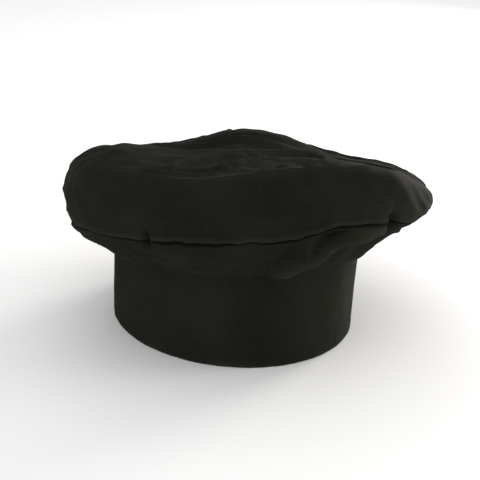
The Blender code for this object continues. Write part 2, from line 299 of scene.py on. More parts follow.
# Creases in the under panel: (bearing, share of the panel) along the crest, height and half width. Then its
# round hollows and bumps.
UNDER_CREASES = (
    (((293, 0.990), (287, 0.980), (279, 0.935), (271, 0.840), (264, 0.730), (257, 0.600), (251, 0.480)),
     TALLEST_CREASE, 0.0040),
    (((254, 0.560), (258, 0.680), (262, 0.790)), 0.0007, 0.0022),
    (((188, 0.985), (196, 0.965), (207, 0.925), (218, 0.865), (228, 0.770), (238, 0.640)), 0.0019, 0.0026),
    (((190, 0.920), (200, 0.875), (212, 0.810), (223, 0.710), (233, 0.590)), 0.0017, 0.0026),
    (((213, 0.930), (225, 0.860), (238, 0.750), (249, 0.640)), 0.0014, 0.0026),
    (((152, 0.930), (170, 0.930), (184, 0.900), (196, 0.840), (206, 0.760)), 0.0022, 0.0034),
    (((300, 0.860), (310, 0.760), (322, 0.680)), 0.0018, 0.0032),
    (((20, 0.930), (34, 0.840), (50, 0.740)), 0.0020, 0.0034),
    (((66, 0.940), (56, 0.860), (44, 0.760)), 0.0016, 0.0032),
    (((104, 0.900), (118, 0.800), (134, 0.760)), 0.0020, 0.0034),
)
UNDER_DENTS = (
    ((271, 0.955), 0.0085, -0.0088),
    ((261.5, 0.860), 0.0050, 0.0066),
    ((285, 0.770), 0.0100, -0.0036),
    ((304, 0.930), 0.0130, -0.0030),
    ((304, 0.760), 0.0200, -0.0080),
    ((179, 0.580), 0.0260, -0.0036),
    ((277, 0.450), 0.0180, -0.0010),
    ((244, 0.800), 0.0120, -0.0014),
    ((320, 0.300), 0.0150, 0.0036),
)

# Where a small tuck is caught in the rim seam: bearing, half width in degrees and depth.
SEAM_NOTCHES = ((213.0, 1.1, 0.0058), (290.0, 1.4, 0.0075), (42.0, 1.0, 0.0034), (128.0, 1.1, 0.0036),
                (350.0, 0.9, 0.0030))
NOTCH_REACH = 0.0046

# Where the rim itself sags or draws in: bearing, half width in degrees, change in radius and in height.
RIM_SHIFTS = ((296.5, 5.0, 0.0006, -0.0044), (172.0, 13.0, -0.0044, -0.0006), (327.0, 13.0, -0.0024, 0.0030),
              (272.0, 7.5, 0.0, 0.0032))

# How far the rim seam opens, and where it gapes: a gap's first and last bearing, and how much further.
SEAM_OPENING = 0.00080
SEAM_GAPS = ((214.0, 243.0, 0.0013), (266.0, 291.0, 0.0014), (60.0, 84.0, 0.0009), (120.0, 150.0, 0.0009))

# ---- colours, in linear light ----

BLACK_COTTON = (0.0101, 0.0103, 0.0080)
BLACK_THREAD = (0.0070, 0.0070, 0.0060)
TAPE_BLACK = (0.011, 0.011, 0.011)
INTERLINING_WHITE = (0.55, 0.55, 0.52)
LABEL_WHITE = (0.70, 0.70, 0.67)
FLOOR_WHITE = (0.94, 0.94, 0.94)

# ---- lights and camera ----

# Lights: place, target, size, power in watts and colour.
SKY_STRENGTH = 0.90
LIGHTS = {
    "overhead": ((0.35, 0.90, 1.3), (0.0, 0.0, 0.10), (0.7, 0.5), 1.5, (1.0, 1.0, 1.0)),
    "right_back": ((1.30, 0.30, 0.15), (0.0, 0.0, 0.08), (0.5, 0.25), 25.0, (1.0, 0.95, 0.90)),
    "right_front": ((1.05, -0.60, 0.12), (0.0, 0.0, 0.06), (0.5, 0.25), 11.5, (1.0, 0.97, 0.94)),
    "left_side": ((-1.30, -0.10, 0.07), (0.0, 0.0, 0.06), (0.5, 0.14), 5.0, (1.0, 1.0, 1.0)),
}

CAMERA_AZIMUTH = math.radians(-32.0)
CAMERA_ELEVATION = math.radians(21.0)
CAMERA_DISTANCE = 0.8638
CAMERA_SIDEWAYS = 0.008
CAMERA_AIM_HEIGHT = 0.0579
CAMERA_LENS = 85.0
CAMERA_SENSOR = 36.0


# ======== curves and fields ========

def smoothstep(t):
    """A smooth rise from 0 to 1 as t goes from 0 to 1."""
    t = np.clip(t, 0.0, 1.0)
    return t * t * (3.0 - 2.0 * t)


def turn_between(bearings, bearing):
    """Degrees from one bearing to others, the short way round."""
    return (bearings - bearing + 180.0) % 360.0 - 180.0


def through(points, t):
    """Points at shares t of smooth curves through controls shaped (curves, controls, dimensions)."""
    last = points.shape[1] - 1
    place = np.clip(t, 0.0, 1.0) * last
    i = np.minimum(place.astype(int), last - 1)
    f = (place - i)[None, :, None]
    here, there = points[:, i], points[:, i + 1]
    before = np.where((i > 0)[None, :, None], points[:, np.maximum(i - 1, 0)], 2 * here - there)
    after = np.where((i + 2 <= last)[None, :, None], points[:, np.minimum(i + 2, last)], 2 * there - here)
    return 0.5 * (2 * here + (there - before) * f + (2 * before - 5 * here + 4 * there - after) * f**2
                  + (3 * here - before - 3 * there + after) * f**3)


def smooth_path(points, count):
    """A smooth curve of this many points through the given ones."""
    return through(np.asarray(points, float)[None], np.linspace(0.0, 1.0, count))[0]


def ripples(points, wavelength, seed, stretch=(1.0, 1.0, 1.0), waves=14):
    """A smooth random field at the points, about -1 to 1, with features of roughly this wavelength."""
    rng = np.random.default_rng(seed)
    field = np.zeros(points.shape[:-1])
    for _ in range(waves):
        direction = rng.normal(size=3)
        direction /= np.linalg.norm(direction)
        number = 2 * math.pi / (wavelength * rng.uniform(0.7, 1.5))
        vector = direction * number / np.array(stretch)
        field += np.sin(points @ vector + rng.uniform(0, 2 * math.pi))
    return field / math.sqrt(waves)


def running_length(points):
    """The distance run along a polyline at each of its points."""
    return np.concatenate([[0.0], np.cumsum(np.linalg.norm(np.diff(points, axis=0), axis=1))])


def distance_to_path(points, path):
    """The distance from each point to a polyline, and the share of the path at which it is nearest."""
    best = np.full(points.shape[:-1], np.inf)
    share = np.zeros(points.shape[:-1])
    steps = len(path) - 1
    for n in range(steps):
        start, run = path[n], path[n + 1] - path[n]
        t = np.clip(((points - start) @ run) / max(run @ run, 1e-12), 0.0, 1.0)
        gap = np.linalg.norm(points - (start + t[..., None] * run), axis=-1)
        nearer = gap < best
        best = np.where(nearer, gap, best)
        share = np.where(nearer, (n + t) / steps, share)
    return best, share


def crest(points, path, height, width):
    """The height of a crease along a path: a narrow edge on a broader base, with hollows beside it."""
    gap, share = distance_to_path(points, path)
    fade = smoothstep(share / CREASE_FADE) * smoothstep((1.0 - share) / CREASE_FADE)
    edge = np.exp(1.0 - np.sqrt(1.0 + (gap / (EDGE_WIDTH * width)) ** 2))
    base = np.exp(-(gap / (BASE_WIDTH * width)) ** 2)
    hollow = np.exp(-((gap - HOLLOW_AWAY * width) / (HOLLOW_WIDTH * width)) ** 2)
    return height * fade * (EDGE_SHARE * edge + BASE_SHARE * base - HOLLOW_SHARE * hollow)


def grid_normals(points, closed):
    """The surface normals of a grid of points, whose first index may run round a closed ring."""
    if closed:
        along = np.roll(points, -1, 0) - np.roll(points, 1, 0)
    else:
        along = np.gradient(points, axis=0)
    normal = np.cross(along, np.gradient(points, axis=1))
    return normal / np.maximum(np.linalg.norm(normal, axis=-1, keepdims=True), 1e-12)


# ======== meshes ========

def mesh_object(name, points, faces, uvs=None, wear_and_highlight=None):
    """A smooth mesh object, with the cloth's flat coordinates in metres and its wear and painted crease
    highlights in attributes.
    """
    mesh = bpy.data.meshes.new(name)
    mesh.from_pydata(points.reshape(-1, 3).tolist(), [], faces)
    mesh.validate()
    mesh.update()
    mesh.shade_smooth()
    if uvs is not None:
        layer = mesh.uv_layers.new(name="flat")
        corner_points = np.empty(len(mesh.loops), int)
        mesh.loops.foreach_get("vertex_index", corner_points)
        layer.data.foreach_set("uv", uvs.reshape(-1, 2)[corner_points].astype(np.float32).ravel())
    if wear_and_highlight is not None:
        attribute = mesh.attributes.new("wear_and_highlight", "FLOAT", "POINT")
        attribute.data.foreach_set("value", np.clip(wear_and_highlight, 0.0, 1.0).astype(np.float32).ravel())
    obj = bpy.data.objects.new(name, mesh)
    bpy.context.scene.collection.objects.link(obj)
    return obj


def grid_faces(columns, rows, closed, first=0):
    """Quads over a grid whose points are numbered column by column."""
    faces = []
    for i in range(columns if closed else columns - 1):
        a, b = first + i * rows, first + (i + 1) % columns * rows
        faces += [(a + j, b + j, b + j + 1, a + j + 1) for j in range(rows - 1)]
    return faces


def thicken(obj, thickness):
    """Gives a one-sided cloth its real thickness, half to each side."""
    solid = obj.modifiers.new("thickness", "SOLIDIFY")
    solid.thickness = thickness
    solid.offset = 0.0
    bake_modifiers(obj)


def bake_modifiers(obj):
    """Applies the object's modifiers to its mesh."""
    bpy.context.view_layer.update()
    final = bpy.data.meshes.new_from_object(obj.evaluated_get(bpy.context.evaluated_depsgraph_get()))
    obj.modifiers.clear()
    obj.data = final


def tube(path, radius, sides=6):
    """The points and faces of a thin closed tube along a path."""
    path = np.asarray(path, float)
    tangent = np.gradient(path, axis=0)
    tangent /= np.maximum(np.linalg.norm(tangent, axis=1, keepdims=True), 1e-12)
    side = np.cross(tangent, (0.31, 0.17, 0.93))
    side /= np.maximum(np.linalg.norm(side, axis=1, keepdims=True), 1e-12)
    other = np.cross(tangent, side)
    turn = np.linspace(0.0, 2 * math.pi, sides, endpoint=False)
    rings = path[:, None] + radius * (np.cos(turn)[None, :, None] * side[:, None]
                                      + np.sin(turn)[None, :, None] * other[:, None])
    count = len(path)
    faces = []
    for n in range(count - 1):
        for k in range(sides):
            faces.append((n * sides + k, n * sides + (k + 1) % sides,
                          (n + 1) * sides + (k + 1) % sides, (n + 1) * sides + k))
    faces.append(tuple(range(sides - 1, -1, -1)))
    faces.append(tuple((count - 1) * sides + k for k in range(sides)))
    return rings.reshape(-1, 3), faces


def joined_tubes(name, paths, radius, sides=6):
    """Many short threads as one object."""
    points, faces, first = [], [], 0
    for path in paths:
        ring_points, ring_faces = tube(path, radius, sides)
        points.append(ring_points)
        faces += [tuple(first + k for k in face) for face in ring_faces]
        first += len(ring_points)
    return mesh_object(name, np.concatenate(points), faces)


# ======== the band's outline ========

def outline(angle, height, inset):
    """Points at these angles of the band's oval, at these heights, moved inwards by the insets."""
    share = height / BAND_HEIGHT
    wide = HEM_HALF_AXES[0] + (TOP_HALF_AXES[0] - HEM_HALF_AXES[0]) * share
    long = HEM_HALF_AXES[1] + (TOP_HALF_AXES[1] - HEM_HALF_AXES[1]) * share
    out_x, out_y = np.cos(angle) / wide, np.sin(angle) / long
    size = np.hypot(out_x, out_y)
    turned = turn_between(np.degrees(angle), HEM_FLARE_AT) / HEM_FLARE_REACH
    inset = inset - HEM_FLARE * (1.0 - np.clip(share, 0.0, 1.0)) ** 2 * np.exp(-turned**2)
    x = TOP_LEAN[0] * share + wide * np.cos(angle) - out_x / size * inset
    y = TOP_LEAN[1] * share + long * np.sin(angle) - out_y / size * inset
    return np.stack(np.broadcast_arrays(x, y, height), axis=-1)


def arc_table():
    """Arc lengths round the outline at half height, and their angles: from the back, clockwise from above."""
    turns = np.linspace(-math.pi, 3 * math.pi, 1441)
    angles = math.pi / 2 - turns
    points = outline(angles, np.full_like(angles, BAND_HEIGHT / 2), 0.0)
    lengths = running_length(points)
    return lengths - np.interp(0.0, turns, lengths), angles


ARC_LENGTHS, ARC_ANGLES = arc_table()
PERIMETER = float((ARC_LENGTHS[-1] - ARC_LENGTHS[0]) / 2)
STRIP_LENGTH = PERIMETER + UNDERLAP_PAST_ROOT


def on_band(along, height, inset):
    """Points this far along the strip from the tab's root. The tab itself is at negative lengths."""
    angle = np.interp(np.asarray(along, float) + TAB_LENGTH / 2, ARC_LENGTHS, ARC_ANGLES)
    return outline(angle, np.asarray(height, float), np.asarray(inset, float))


def dive(along):
    """How far the strip has moved inwards to pass under the tab."""
    return UNDERLAP_INSET * smoothstep((np.asarray(along, float) - (PERIMETER - DIVE_START)) / DIVE_LENGTH)


def flat_points(along, height):
    """Points of the band's cloth laid out flat, where random fields are read."""
    return np.stack([along, height, np.zeros_like(along)], axis=-1)


def band_relief(along, height):
    """How far the band's cloth stands out of its outline: soft swells, and a dent along each stitch row."""
    flat = flat_points(along, height)
    over_hem = height - HEM_STITCH_HEIGHT
    swell = 0.00055 * ripples(flat, 0.060, 11, stretch=(1.0, 1.8, 1.0)) * smoothstep(height / 0.02)
    fine = 0.00012 * ripples(flat, 0.012, 12, stretch=(1.0, 1.6, 1.0))
    hem = -0.00030 * np.exp(-(over_hem / 0.0011) ** 2)
    pucker = 0.00016 * ripples(flat, 0.0075, 13, stretch=(1.0, 6.0, 1.0)) * np.exp(-np.abs(over_hem) / 0.004)
    crown = -0.00025 * np.exp(-((height - CROWN_STITCH_HEIGHT) / 0.0012) ** 2)
    return swell + fine + hem + pucker + crown


def band_point(along, height, depth):
    """Points on a layer of the band, whose middle lies at this depth below the outer face."""
    return on_band(along, height, depth - band_relief(along, height) + dive(along))


def hem_profile(bottom, top, outer, inner, turn_up):
    """(depth, height) down the outside, round the folded edge, and up inside by the turned-up width."""
    radius = (inner - outer) / 2
    middle = (outer + inner) / 2
    down = [(outer, h) for h in np.linspace(top, bottom + radius, 46)]
    round_edge = [(middle - radius * math.cos(a), bottom + radius - radius * math.sin(a))
                  for a in np.linspace(0.0, math.pi, 9)[1:-1]]
    up = [(inner, h) for h in np.linspace(bottom + radius, bottom + turn_up, 7)]
    return np.array(down + round_edge + up)


def strip(name, alongs, profile, thickness, turned_to=None, wear_and_highlight=None):
    """A strip of cloth swept along the band, with this cross-section of (depth, height) points.

    Its two ends can be turned in to a depth inside the band.
    """
    columns, turn, flat_along = alongs, np.zeros(len(alongs)), alongs
    if turned_to is not None:
        inward, share, unrolled = np.array(END_TURN).T
        columns = np.concatenate([alongs[0] + inward, alongs, alongs[-1] - inward[::-1]])
        turn = np.concatenate([share, turn, share[::-1]])
        flat_along = np.concatenate([alongs[0] - unrolled, alongs, alongs[-1] + unrolled[::-1]])
    along = np.repeat(columns[:, None], len(profile), axis=1)
    depth = np.repeat(profile[None, :, 0], len(columns), axis=0)
    height = np.repeat(profile[None, :, 1], len(columns), axis=0)
    if turned_to is not None:
        depth = depth + (turned_to - depth) * turn[:, None]
    points = band_point(along, height, depth)
    uvs = np.stack(np.broadcast_arrays(flat_along[:, None], running_length(profile)[None, :]), axis=-1)
    wear_and_highlight_share = np.zeros_like(along) if wear_and_highlight is None else wear_and_highlight(along, height)
    obj = mesh_object(name, points, grid_faces(len(columns), len(profile), False), uvs, wear_and_highlight_share)
    thicken(obj, thickness)
    return obj


def flat_profile(depth, bottom, top, rows):
    """(depth, height) up a plain layer."""
    return np.stack([np.full(rows, depth), np.linspace(bottom, top, rows)], axis=-1)


def hem_wear(along, height):
    """Rubbed cloth along the folded lower edge."""
    flat = flat_points(along, height)
    patchy = 0.6 + 0.4 * ripples(flat, 0.025, 21)
    return np.exp(-height / 0.0016) * patchy


# ======== materials ========

def scaled(colour, factor):
    """A paler or darker shade of a colour."""
    return tuple(factor * c for c in colour)


def add(tree, kind, **values):
    """A new node, with its inputs or settings of these names set."""
    node = tree.nodes.new(kind)
    for name, value in values.items():
        if name in node.inputs:
            node.inputs[name].default_value = value
        else:
            setattr(node, name, value)
    return node


def noise_node(tree, coordinates, scale, detail=3.0, roughness=0.5):
    """Cloudy noise."""
    node = add(tree, "ShaderNodeTexNoise", Scale=scale, Detail=detail, Roughness=roughness)
    tree.links.new(coordinates, node.inputs["Vector"])
    return node.outputs["Fac"]


def map_range(tree, value, low, high, to_low, to_high):
    """A value rescaled from one range to another."""
    node = add(tree, "ShaderNodeMapRange")
    for index, number in enumerate((low, high, to_low, to_high), start=1):
        node.inputs[index].default_value = number
    tree.links.new(value, node.inputs[0])
    return node.outputs[0]


def math_node(tree, operation, a, b):
    """A sum or product of two values, either of which may be a number."""
    node = add(tree, "ShaderNodeMath", operation=operation)
    for socket, value in zip(node.inputs, (a, b)):
        if isinstance(value, (int, float)):
            socket.default_value = value
        else:
            tree.links.new(value, socket)
    return node.outputs[0]


def mixed(tree, share, colour_a, colour_b):
    """A blend of two colours by a share."""
    node = add(tree, "ShaderNodeMix", data_type="RGBA")
    tree.links.new(share, node.inputs["Factor"])
    for index, colour in ((6, colour_a), (7, colour_b)):
        if isinstance(colour, tuple):
            node.inputs[index].default_value = (*colour, 1.0)
        else:
            tree.links.new(colour, node.inputs[index])
    return node.outputs[2]


def wave(tree, coordinates, period, angle):
    """Parallel ribs of this period, turned by this angle in the cloth's flat coordinates."""
    turn = add(tree, "ShaderNodeMapping")
    turn.inputs["Rotation"].default_value = (0.0, 0.0, angle)
    tree.links.new(coordinates, turn.inputs["Vector"])
    node = add(tree, "ShaderNodeTexWave", Scale=math.pi / 10.0 / period, Distortion=0.6, Detail=1.0)
    tree.links.new(turn.outputs["Vector"], node.inputs["Vector"])
    return node.outputs["Fac"]


def new_material(name, colour, roughness, sheen=0.0, sheen_roughness=0.5, specular=0.3):
    """A new material with these plain values: the material, its node tree and its shader."""
    material = bpy.data.materials.new(name)
    material.use_nodes = True
    shader = material.node_tree.nodes["Principled BSDF"]
    shader.inputs["Base Color"].default_value = (*colour, 1.0)
    shader.inputs["Roughness"].default_value = roughness
    shader.inputs["Specular IOR Level"].default_value = specular
    shader.inputs["Sheen Weight"].default_value = sheen
    shader.inputs["Sheen Roughness"].default_value = sheen_roughness
    shader.inputs["Sheen Tint"].default_value = (1.0, 0.97, 0.90, 1.0)
    return material, material.node_tree, shader


def bump(tree, shader, height, strength, distance):
    """Fine relief from a height."""
    node = add(tree, "ShaderNodeBump", Strength=strength, Distance=distance)
    tree.links.new(height, node.inputs["Height"])
    tree.links.new(node.outputs["Normal"], shader.inputs["Normal"])


def cotton_material(name, colour, seed_shift):
    """Fine black cotton: ribs and cross threads, slubs, uneven dye, a little lint, pale rubbed edges, and
    painted highlights along crease crests.
    """
    material, tree, shader = new_material(name, colour, 0.82, sheen=0.007, sheen_roughness=0.30,
                                          specular=0.010)
    flat = add(tree, "ShaderNodeUVMap", uv_map="flat").outputs["UV"]
    place = add(tree, "ShaderNodeTexCoord").outputs["Object"]
    shifted = add(tree, "ShaderNodeVectorMath", operation="ADD")
    shifted.inputs[1].default_value = (seed_shift, seed_shift * 0.7, 0.0)
    tree.links.new(place, shifted.inputs[0])
    place = shifted.outputs[0]

    clouds = noise_node(tree, place, 22.0, detail=4.0)
    thread = noise_node(tree, flat, 900.0, detail=2.0)
    lint = noise_node(tree, place, 420.0, detail=1.0)
    wear_and_highlight_share = add(tree, "ShaderNodeAttribute", attribute_name="wear_and_highlight").outputs["Fac"]

    patches = map_range(tree, clouds, 0.35, 0.68, 0.0, 1.0)
    dye = mixed(tree, patches, scaled(colour, 0.84), scaled(colour, 1.26))
    yarn = mixed(tree, map_range(tree, thread, 0.45, 0.75, 0.0, 0.45), dye, scaled(colour, 2.2))
    # Paler where the mesh attribute says so: real wear at the hem, tab edges and rim, and a painted highlight
    # along crease crests.
    rubbed_and_highlit = mixed(tree, math_node(tree, "MULTIPLY", wear_and_highlight_share, 0.55), yarn, scaled(colour, 4.0))
    speck = mixed(tree, map_range(tree, lint, 0.80, 0.84, 0.0, 0.5), rubbed_and_highlit, scaled(colour, 7.0))
    tree.links.new(speck, shader.inputs["Base Color"])
    tree.links.new(map_range(tree, clouds, 0.3, 0.7, 0.76, 0.90), shader.inputs["Roughness"])

    ribs = math_node(tree, "MULTIPLY", wave(tree, flat, 0.00062, math.radians(63.0)), 0.7)
    across = math_node(tree, "MULTIPLY", wave(tree, flat, 0.00040, 0.0), 0.3)
    slubs = math_node(tree, "MULTIPLY", noise_node(tree, flat, 160.0, detail=3.0), 0.8)
    height = math_node(tree, "ADD", math_node(tree, "ADD", ribs, across), slubs)
    bump(tree, shader, height, 0.5, 0.00012)
    return material


def fibre_material(name, colour, surface, grain, tones, relief, roughness_range=None):
    """Fine fibres all over: spun thread, woven tape or pressed interlining.

    surface: roughness, sheen and specular. grain: the noise's scale, detail and roughness. tones: the dark
    and the pale share of the colour. relief: the bump's strength and distance.
    """
    roughness, sheen, specular = surface
    material, tree, shader = new_material(name, colour, roughness, sheen=sheen, specular=specular)
    place = add(tree, "ShaderNodeTexCoord").outputs["Object"]
    fibres = noise_node(tree, place, *grain)
    tree.links.new(mixed(tree, fibres, scaled(colour, tones[0]), scaled(colour, tones[1])),
                   shader.inputs["Base Color"])
    if roughness_range is not None:
        tree.links.new(map_range(tree, fibres, 0.3, 0.7, *roughness_range), shader.inputs["Roughness"])
    bump(tree, shader, fibres, *relief)
    return material


def label_material(name, colour):
    """White satin ribbon with fine ribs across it, a little soiled."""
    material, tree, shader = new_material(name, colour, 0.38, sheen=0.1, specular=0.5)
    flat = add(tree, "ShaderNodeUVMap", uv_map="flat").outputs["UV"]
    ribs = wave(tree, flat, 0.00035, math.radians(90.0))
    soil = noise_node(tree, flat, 90.0, detail=3.0)
    tree.links.new(mixed(tree, map_range(tree, soil, 0.4, 0.7, 0.0, 1.0), colour, scaled(colour, 0.86)),
                   shader.inputs["Base Color"])
    tree.links.new(map_range(tree, soil, 0.3, 0.7, 0.32, 0.46), shader.inputs["Roughness"])
    bump(tree, shader, ribs, 0.35, 0.00008)
    return material


def floor_material():
    """A pale, matt, faintly uneven floor."""
    material, tree, shader = new_material("pale_floor", FLOOR_WHITE, 0.9, specular=0.1)
    place = add(tree, "ShaderNodeTexCoord").outputs["Object"]
    tone = noise_node(tree, place, 3.0)
    tree.links.new(mixed(tree, tone, FLOOR_WHITE, scaled(FLOOR_WHITE, 0.985)), shader.inputs["Base Color"])
    return material


# ======== placing pieces ========

def finish_piece(obj, material, slot, *nodes):
    """Gives a piece its material and hides the CAD nodes that it stands for. Its slot is not used."""
    obj.data.materials.clear()
    obj.data.materials.append(material)
    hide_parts(*nodes)
    return obj


# ======== the band ========

def make_band():
    """The band's three layers: outer cloth with its turned hem, interlining and facing."""
    alongs = np.linspace(0.0, STRIP_LENGTH, BAND_COLUMNS)
    profile = hem_profile(*OUTER_HEIGHTS, OUTER_DEPTH, HEM_INNER_DEPTH, HEM_TURN_UP)
    outer = strip("band_outer_cloth", alongs, profile, CLOTH, turned_to=HEM_INNER_DEPTH, wear_and_highlight=hem_wear)
    finish_piece(outer, COTTON, "cloth", "band_outer")
    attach(outer, "band")

    layer = flat_profile(STIFFENER_DEPTH, *STIFFENER_HEIGHTS, 12)
    stiff = strip("band_interlining_layer", alongs[1:-1:3], layer, STIFFENER)
    finish_piece(stiff, INTERLINING, "interlining", "band_interlining")
    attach(stiff, "band")

    facing = strip("band_facing_cloth", alongs, flat_profile(FACING_DEPTH, *FACING_HEIGHTS, 40), FACING_CLOTH)
    finish_piece(facing, FACING_COTTON, "cloth", "band_facing")
    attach(facing, "band")


def stitch_paths(places):
    """Short threads along a route: its length, and a function for points and outward directions on it."""
    route_length, locate = places
    steps = np.linspace(0.0, STITCH_LENGTH, STITCH_POINTS)
    arch = np.sin(np.linspace(0.0, math.pi, STITCH_POINTS)) ** 0.5
    rise = STITCH_LIFT * arch - STITCH_SINK * (1.0 - arch)
    paths = []
    count = int(route_length / (STITCH_LENGTH + STITCH_GAP))
    for n in range(count):
        points, outward = locate((n + 0.1) * route_length / count + steps)
        paths.append(points + outward * rise[:, None])
    return paths


def band_row(start, end, height, depth, inward=False):
    """A stitch row at one height of the band: its length, and its points and directions."""
    def locate(s):
        along = start + s
        high = np.full_like(along, height)
        face = band_point(along, high, np.full_like(along, depth))
        deeper = band_point(along, high, np.full_like(along, depth + PROBE))
        outward = (face - deeper) / PROBE
        return face, -outward if inward else outward
    return end - start, locate


def make_band_stitching():
    """The rows of thread over the hem and under the crown, seen outside and inside."""
    rows = (("hem_topstitch_thread", "hem_topstitch", HEM_STITCH_HEIGHT),
            ("crown_topstitch_thread", "crown_topstitch", CROWN_STITCH_HEIGHT))
    ends = (BARTACK_ALONG + ROW_START_GAP, STRIP_LENGTH - ROW_END_GAP)
    for (name, node, height), inner_depth in zip(rows, STITCH_INSIDE_DEPTHS):
        outside = stitch_paths(band_row(*ends, height, 0.0))
        inside = stitch_paths(band_row(*ends, height, inner_depth, inward=True))
        thread = joined_tubes(name, outside + inside, BAND_THREAD)
        finish_piece(thread, THREAD, "thread", node)
        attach(thread, "band")


def make_bartacks():
    """Dense zigzags of thread at the ends of the closure, over two straight threads."""
    for name in ("bartack_lower", "bartack_upper"):
        low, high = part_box(name)
        turns = np.linspace(0.0, 1.0, TACK_PASSES * 2 + 1)
        side = np.where(np.arange(len(turns)) % 2 == 0, -1.0, 1.0)
        along = BARTACK_ALONG + TACK_HALF_WIDTH * side
        height = low.z + TACK_END_GAP + (high.z - low.z - 2 * TACK_END_GAP) * turns
        zigzag = smooth_path(band_point(along, height, np.full_like(along, TACK_DEPTH)), len(turns) * 4)
        legs = [band_point(np.full(12, BARTACK_ALONG + shift), np.linspace(low.z, high.z, 12),
                           np.full(12, TACK_LEG_DEPTH))
                for shift in (-TACK_LEG_SHIFT, TACK_LEG_SHIFT)]
        tack = joined_tubes(name + "_thread", [zigzag] + legs, TACK_THREAD, sides=5)
        finish_piece(tack, THREAD, "thread", name)
        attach(tack, "band")


def make_label():
    """A folded ribbon label, sewn along its upper edge and curling a little at its free end."""
    low, high = LABEL_HEIGHTS
    alongs = np.linspace(LABEL_ENDS[0], LABEL_ENDS[1], 36)
    heights = np.linspace(high, low, 30)
    along, height = np.meshgrid(alongs, heights, indexing="ij")
    free = (high - height) / (high - low)
    curl = 0.0016 * free**2 * (1.0 + 0.5 * np.sin((along - LABEL_ENDS[0]) * 170.0))
    points = on_band(along, height, LABEL_DEPTH + curl)
    uvs = np.stack([along, height], axis=-1)
    label = mesh_object("care_label_ribbon", points, grid_faces(len(alongs), len(heights), False), uvs)
    thicken(label, LABEL_RIBBON)
    finish_piece(label, LABEL, "label", "care_label")
    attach(label, "band")


# ======== the closure ========

def rounded_patch(alongs, heights, corner, free_end):
    """A grid over a rectangle whose two corners at the free end are rounded off."""
    along, height = np.meshgrid(alongs, heights, indexing="ij")
    low, high = heights[0], heights[-1]
    reach = np.clip(1.0 - np.abs(along - free_end) / corner, 0.0, 1.0)
    cut = corner * (1.0 - np.sqrt(1.0 - reach**2))
    middle = (low + high) / 2
    half = (high - low) / 2
    return along, middle + (height - middle) * (half - cut) / half


def tab_layer(name, depth, thickness, margin, rows, material, slot, node, turned):
    """A layer of the tab, cut back by a margin. A turned one has rolled edges and shows the stitch row."""
    start, end = -margin, -(TAB_LENGTH - margin)
    low, high = TAB_BOTTOM + margin, TAB_TOP - margin
    if turned:
        low, high = low + TAB_TURN, high - TAB_TURN
        end += TAB_TURN
    spacing = np.linspace(0.0, 1.0, rows)
    alongs = start + (end - start) * np.linspace(0.0, 1.0, rows + 8) ** 0.9
    along, height = rounded_patch(alongs, low + (high - low) * spacing, TAB_CORNER, end)
    flat = flat_points(along, height)
    edge = np.minimum(np.minimum(height - low, high - height), along - end)
    rim = np.clip(edge, 0.0, 1.0)
    from_row = edge - TAB_STITCH_MARGIN
    roll = 0.0005 * np.exp(-rim / 0.0010) if turned else 0.0
    seam = 0.00025 * np.exp(-(from_row / 0.0010) ** 2) if turned else 0.0
    soft = 0.00025 * ripples(flat, 0.030, 31)
    pucker = 0.00012 * ripples(flat, 0.007, 32) * np.exp(-np.abs(from_row) / 0.003)
    sign = 1.0 if depth < BAND_THICKNESS / 2 else -1.0
    points = on_band(along, height, depth + sign * (roll + seam) - soft - sign * pucker)
    uvs = np.stack([along, height], axis=-1)
    wear_and_highlight = np.exp(-rim / 0.0011) * 0.8 if turned else np.zeros_like(along)
    obj = mesh_object(name, points, grid_faces(len(alongs), rows, False), uvs, wear_and_highlight)
    thicken(obj, thickness)
    finish_piece(obj, material, slot, node)
    return obj


def make_tab():
    """The tab's layers, hook tape and stitching."""
    pieces = [
        tab_layer("tab_outer_cloth", OUTER_DEPTH, CLOTH, 0.0001, 56, COTTON, "cloth", "tab_outer", True),
        tab_layer("tab_interlining_layer", STIFFENER_DEPTH, STIFFENER, 0.0022, 24, INTERLINING, "interlining",
                  "tab_interlining", False),
        tab_layer("tab_facing_cloth", FACING_DEPTH, CLOTH, 0.0004, 56, FACING_COTTON, "cloth", "tab_facing",
                  True),
        make_hook_tape(),
        make_tab_stitching(),
    ]
    root = on_band(np.array(0.0), np.array(TAB_ROOT_HEIGHT), np.array(PROBE))
    further = on_band(np.array(-TAB_ROOT_BEND), np.array(TAB_ROOT_HEIGHT), np.array(PROBE))
    for piece in pieces:
        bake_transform(piece)


def tab_route(inner):
    """The stitch row round the tab's three free edges: its length, and its points and directions."""
    low = TAB_BOTTOM + TAB_STITCH_MARGIN
    high = TAB_TOP - TAB_STITCH_MARGIN
    far = -(TAB_LENGTH - TAB_STITCH_MARGIN)
    near = -TAB_STITCH_MARGIN
    cut = 0.002
    corners = np.array([(near, low), (far + cut, low), (far, low + cut), (far, high - cut), (far + cut, high),
                        (near, high)])
    runs = running_length(corners)
    depth = BAND_THICKNESS - 0.0002 if inner else 0.0002

    def locate(s):
        along = np.interp(s, runs, corners[:, 0])
        height = np.interp(s, runs, corners[:, 1])
        face = on_band(along, height, depth)
        outward = (face - on_band(along, height, depth + PROBE)) / PROBE
        return face, -outward if inner else outward
    return float(runs[-1]), locate


def make_tab_stitching():
    """The tab's row of thread, seen outside and inside."""
    paths = stitch_paths(tab_route(False)) + stitch_paths(tab_route(True))
    thread = joined_tubes("tab_topstitch_thread", paths, TAB_THREAD)
    return finish_piece(thread, THREAD, "thread", "tab_topstitch")


def tape_backing(name, alongs, depths):
    """The woven backing of a tape: a thin slab with its edges pressed flat."""
    heights = np.linspace(TAPE_BOTTOM, TAPE_TOP, 14)
    along, height = np.meshgrid(alongs, heights, indexing="ij")
    edge = np.minimum(height - TAPE_BOTTOM, TAPE_TOP - height)
    flat = flat_points(along, height)
    press = 0.00012 * np.exp(-edge / 0.0015) - 0.00006 * ripples(flat, 0.008, 41)
    points = on_band(along, height, depths[:, None] + press)
    backing = mesh_object(name, points, grid_faces(len(alongs), len(heights), False))
    thicken(backing, TAPE_BACKING)
    return backing


